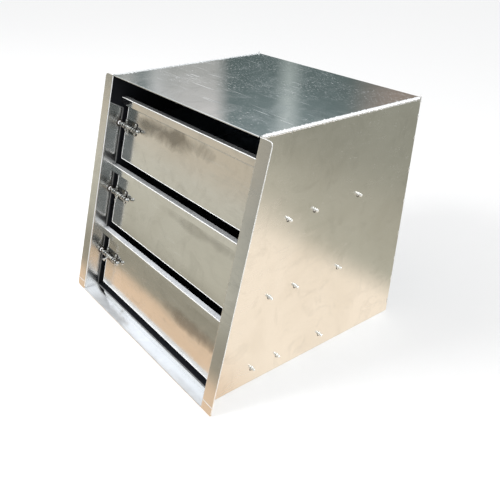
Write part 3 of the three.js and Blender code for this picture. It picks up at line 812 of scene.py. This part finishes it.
def burnished_face(tier):
    """Bright bars along the folds round a drawer's face: a painted highlight."""
    low, high = tilted_box("drawer_face_" + tier)
    inset = 0.95 * MM
    y = low.y + inset
    corners = [(low.x, low.z, 1, 1), (high.x, low.z, -1, 1), (high.x, high.z, -1, -1), (low.x, high.z, 1, -1)]
    ring = [TILT @ Vector((x + i * inset, y, z + k * inset)) for x, z, i, k in corners]
    bm = bmesh.new()
    sweep(bm, rounded(ring, [2 * MM] * 4), SQUARE, FACE_BAR, True)
    piece("burnished_face_" + tier, bm, (edge_highlight,), "drawer_" + tier)


def burnished_rail(tier):
    """A bright bar along the fold at the top front edge of a rail: a painted highlight."""
    low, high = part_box("rail_" + tier)
    front = low.y + (high.z - low.z) * math.tan(SLANT)
    y, z = front + 0.8 * MM, high.z - 0.75 * MM
    bm = bmesh.new()
    ends = [Vector((low.x + 0.3 * MM, y, z)), Vector((high.x - 0.3 * MM, y, z))]
    sweep(bm, ends, Vector((0, 1, 0)), RAIL_BAR)
    piece("burnished_rail_" + tier, bm, (edge_highlight,), "cabinet")


def burnished_flange(side):
    """A bright bar round the cut edge of a flange, and on the left also along the fold beside it: painted
    highlights.
    """
    sign = sign_of(side)
    low, high = tilted_box("side_panel_" + side)
    outer = high.x if sign > 0 else low.x
    inset = 0.75 * MM
    x, y, top = outer - sign * inset, inset, HEIGHT / math.cos(SLANT) - inset
    corners = [(sign * (HALF - 1 * MM), top), (x, top), (x, 5 * MM)]
    path = [TILT @ Vector((a, y, b)) for a, b in corners]
    path = [path[0]] + rounded(path, [0, FLANGE_CORNER * MM, 0])[1:]
    bm = bmesh.new()
    sweep(bm, path, SQUARE, FLANGE_BAR)
    if side == "left":
        x = sign * (HALF - 0.5 * MM)
        fold = [TILT @ Vector((x, 1.1 * MM, z)) for z in (8 * MM, top - 2 * MM)]
        sweep(bm, fold, SQUARE, FOLD_BAR)
    piece("burnished_flange_" + side, bm, (edge_highlight,), "cabinet")


SIDE_SHEET = 1.5
HOLE_RIM = ((0, 5.2), (0.35, 5.4), (0.35, 9.0), (0, 10.0))


def hole_rims():
    """Sooty rims round the holes in the left side that the bolts shoot into."""
    bm = bmesh.new()
    for tier in TIERS:
        low, high = tilted_box("latch_plate_" + tier)
        y, z = high.y / MM - PLATE_SHEET - ROD_OFF_PLATE, (low.z + high.z) / 2 / MM
        at = TILT @ MILLI @ Matrix.Translation((SIDE_SHEET - HALF / MM, y, z))
        ringed(bm, HOLE_RIM, at, 24)
    piece("latch_hole_rims", bm, (grime_and_shade,), "cabinet")


for side in SIDES:
    weld(side)
    tacks(side)
    burnished_flange(side)
for tier in TIERS:
    burnished_face(tier)
    burnished_rail(tier)
hole_rims()


# ---- stage ----
STAGE_HALF = 15.0
FLOOR_AT, REFLECTOR_AT = -0.0012, -0.0005


def stage_plane(name, height, material):
    """A wide level sheet under the object that belongs to the stage."""
    mesh = bpy.data.meshes.new(name)
    corners = [(i * STAGE_HALF, k * STAGE_HALF, 0) for i, k in ((-1, -1), (1, -1), (1, 1), (-1, 1))]
    mesh.from_pydata(corners, [], [(0, 1, 2, 3)])
    mesh.materials.append(material)
    o = bpy.data.objects.new(name, mesh)
    o.location.z = height
    bpy.context.collection.objects.link(o)
    return o


def make_floor():
    """A matt white floor."""
    material = bpy.data.materials.new("floor_paint")
    _, shader = nodes_of(material)
    shader.inputs["Base Color"].default_value = (0.93, 0.93, 0.93, 1)
    shader.inputs["Roughness"].default_value = 0.9
    shader.inputs["Specular IOR Level"].default_value = 0.1
    stage_plane("studio_floor", FLOOR_AT, material)


# What the polished sheet mirrors: warm paving close to the object, greyer ground further off.
SAND = (0.78, 0.585, 0.415)
CREAM = (1.0, 0.87, 0.715)
OLIVE = (0.315, 0.295, 0.235)
BEIGE = (0.53, 0.51, 0.425)
GROUND_ALONG_Y = (
    (-4.0, (0.62, 0.55, 0.44)),
    (-2.9, (0.62, 0.56, 0.46)),
    (-2.4, (0.62, 0.60, 0.52)),
    (-1.5, (0.60, 0.58, 0.49)),
    (-0.80, BEIGE),
    (-0.62, OLIVE),
    (-0.43, OLIVE),
    (-0.40, SAND),
    (-0.30, SAND),
    (-0.12, CREAM),
    (0.34, CREAM),
    (0.46, (0.47, 0.45, 0.365)),
    (0.80, (0.42, 0.40, 0.325)),
    (1.15, (0.30, 0.295, 0.24)),
    (4.0, (0.27, 0.275, 0.235)),
)
# The object's own shade, in front and to the right.
SHADE_FRONT_RIGHT = (0.165, 0.18, 0.185)


def make_reflected_ground():
    """A toned sheet just above the floor that only mirror reflections meet, as a photographer's reflector."""
    material = bpy.data.materials.new("reflector_ground")
    material.use_nodes = True
    tree = material.node_tree
    tree.nodes.remove(tree.nodes["Principled BSDF"])
    g = Graph(tree)
    parts = g.parts(g.coord.outputs["Object"])
    uneven = g.span(g.noise(g.place(), 1.6, 2.0), 0.3, 0.7, -0.05, 0.05)
    uneven = g.math("MULTIPLY", uneven, g.span(parts["Y"], -2.5, -0.5, 5.0, 0.6))
    colour = g.ramp_over(g.math("ADD", parts["Y"], uneven), GROUND_ALONG_Y)
    right = g.span(g.math("SUBTRACT", parts["X"], parts["Y"]), 0.66, 0.80)
    front = g.span(parts["Y"], -0.50, -0.40, 1.0, 0.0)
    colour = g.mix(g.math("MULTIPLY", right, front), colour, SHADE_FRONT_RIGHT)
    dimmer = g.span(parts["X"], -0.95, -0.45, 0.93, 1.0)
    colour = g.mix(1.0, colour, g.ramp(dimmer, [(0.0, (0, 0, 0)), (1.0, (1, 1, 1))]), "MULTIPLY")
    glow = tree.nodes.new("ShaderNodeEmission")
    g.link(colour, glow.inputs["Color"])
    g.link(glow.outputs["Emission"], tree.nodes["Material Output"].inputs["Surface"])
    o = stage_plane("reflector_ground", REFLECTOR_AT, material)
    o.visible_camera = False
    o.visible_diffuse = False
    o.visible_shadow = False
    o.visible_transmission = False


# The sky's tone by the height of its direction: 0 is level, 1 is straight up.
SKY_BY_HEIGHT = (
    (-0.1, (0.20, 0.21, 0.20)),
    (0.05, (0.17, 0.19, 0.19)),
    (0.22, (0.21, 0.24, 0.245)),
    (0.45, (0.62, 0.66, 0.70)),
    (0.65, (1.10, 1.16, 1.26)),
    (0.80, (1.05, 1.1, 1.17)),
    (1.0, (0.58, 0.61, 0.64)),
)
WARM_LOW = (1.9, 1.65, 1.4)
DARK = (0.6, 0.68, 0.67)
PALE = (1.85, 1.64, 1.54)
TEAL = (0.47, 0.55, 0.53)
BROWN = (1.12, 0.84, 0.70)
# The low sky's tint by bearing, in degrees from the back (+Y) towards the right (+X).
HORIZON_ROUND = (
    (-180, DARK),
    (-150, DARK),
    (-142, WARM_LOW),
    (-122, WARM_LOW),
    (-112, DARK),
    (-75, TEAL),
    (-62.6, TEAL),
    (-62.2, PALE),
    (-61.7, PALE),
    (-61.4, TEAL),
    (-60.4, TEAL),
    (-60.0, PALE),
    (-59.4, (2.3, 2.1, 2.05)),
    (-58.6, (1.6, 1.45, 1.36)),
    (-56, PALE),
    (-52.75, PALE),
    (-52.45, TEAL),
    (-47.0, (0.56, 0.64, 0.62)),
    (-46.9, (1.6, 1.6, 1.5)),
    (-46.1, (1.6, 1.6, 1.5)),
    (-45.9, (0.54, 0.62, 0.60)),
    (-41, TEAL),
    (-37, BROWN),
    (-34, BROWN),
    (-31, (0.8, 0.7, 0.62)),
    (0, DARK),
    (180, DARK),
)


def make_world():
    """White for the camera and for soft light; for mirror reflections a sky over a banded horizon."""
    world = bpy.data.worlds.new("world")
    bpy.context.scene.world = world
    world.use_nodes = True
    tree = world.node_tree
    g = Graph(tree)
    parts = g.parts(g.coord.outputs["Generated"])
    height = g.ramp_over(parts["Z"], SKY_BY_HEIGHT)
    bearing = g.math("ARCTAN2", parts["X"], parts["Y"])
    bands = g.ramp_over(g.math("MULTIPLY", bearing, 180 / math.pi), HORIZON_ROUND)
    low_sky = g.span(parts["Z"], 0.30, 0.50, 1.0, 0.0)
    colour = g.mix(low_sky, height, bands, "MULTIPLY")
    back = tree.nodes["Background"]
    g.link(colour, back.inputs["Color"])
    plain = tree.nodes.new("ShaderNodeBackground")
    plain.inputs["Color"].default_value = (1, 1, 1, 1)
    rays = tree.nodes.new("ShaderNodeLightPath")
    choice = tree.nodes.new("ShaderNodeMixShader")
    white = g.math("MAXIMUM", rays.outputs["Is Camera Ray"], rays.outputs["Is Diffuse Ray"])
    g.link(white, choice.inputs["Fac"])
    g.link(back.outputs["Background"], choice.inputs[1])
    g.link(plain.outputs["Background"], choice.inputs[2])
    g.link(choice.outputs["Shader"], tree.nodes["World Output"].inputs["Surface"])


def area_light(name, location, target, size, power):
    """A rectangular white light that looks at a target."""
    data = bpy.data.lights.new(name, "AREA")
    data.shape = "RECTANGLE"
    data.size, data.size_y = size
    data.energy = power
    o = bpy.data.objects.new(name, data)
    o.location = location
    o.rotation_euler = (Vector(target) - Vector(location)).to_track_quat("-Z", "Y").to_euler()
    bpy.context.collection.objects.link(o)
    return o


make_floor()
make_reflected_ground()
make_world()
key = area_light("key", (-0.9, -2.4, 2.3), (0, -0.2, 0.2), (1.4, 1.0), 60)
key.visible_glossy = False
glint = area_light("glint", (2.2, 1.5, 2.6), (0.3, 0, 0.3), (0.9, 0.9), 90)
glint.visible_diffuse = False
bpy.context.scene.view_settings.view_transform = "Standard"
